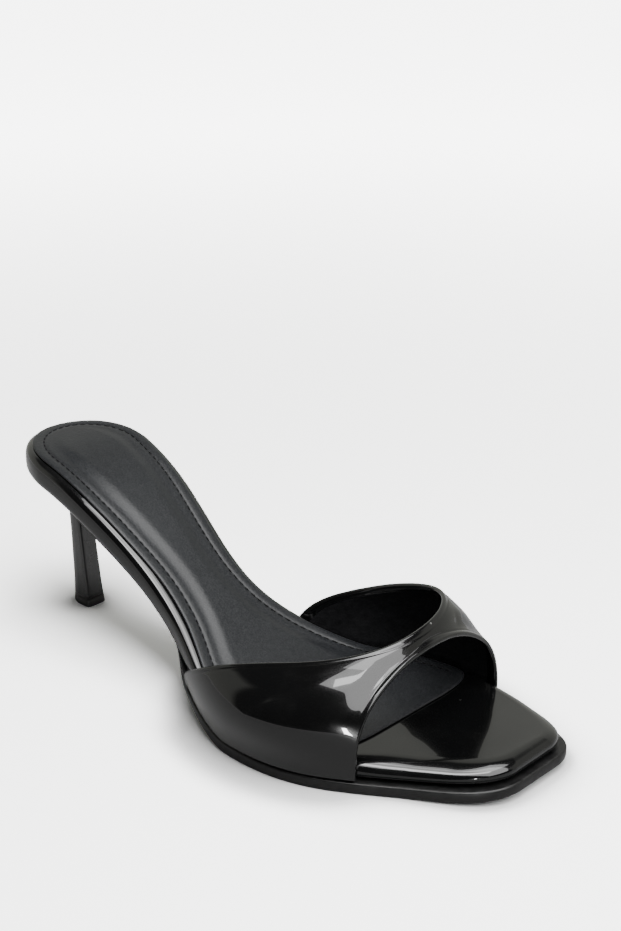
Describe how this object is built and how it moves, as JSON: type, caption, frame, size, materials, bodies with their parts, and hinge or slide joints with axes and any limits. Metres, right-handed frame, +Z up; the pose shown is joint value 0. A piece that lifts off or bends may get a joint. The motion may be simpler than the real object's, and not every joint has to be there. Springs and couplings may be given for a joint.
{
  "type": "heeled slipper",
  "caption": "Backless open-toe slipper with a wide glossy band over the forefoot, an arched padded foot bed, a thin rubber sole and a slim flared heel.",
  "frame": {"origin": "on the floor under the middle of the shoe's bounding box", "axes": "+X from heel to toe, +Y to the inner side of the right foot, +Z up from the floor"},
  "size_m": [0.2296, 0.0942, 0.0709],
  "materials": {
    "patent": "mirror gloss patent",
    "sock": "matt fine grain",
    "sole_rubber": "matt",
    "heel_gloss": "gloss",
    "tip_rubber": "matt"
  },
  "bodies": {
    "root": {"outsole": "sole_rubber", "insole_board": "patent", "sock_lining": "sock", "upper": "patent", "heel": "heel_gloss", "heel_tip": "tip_rubber"}
  },
  "joints": []
}
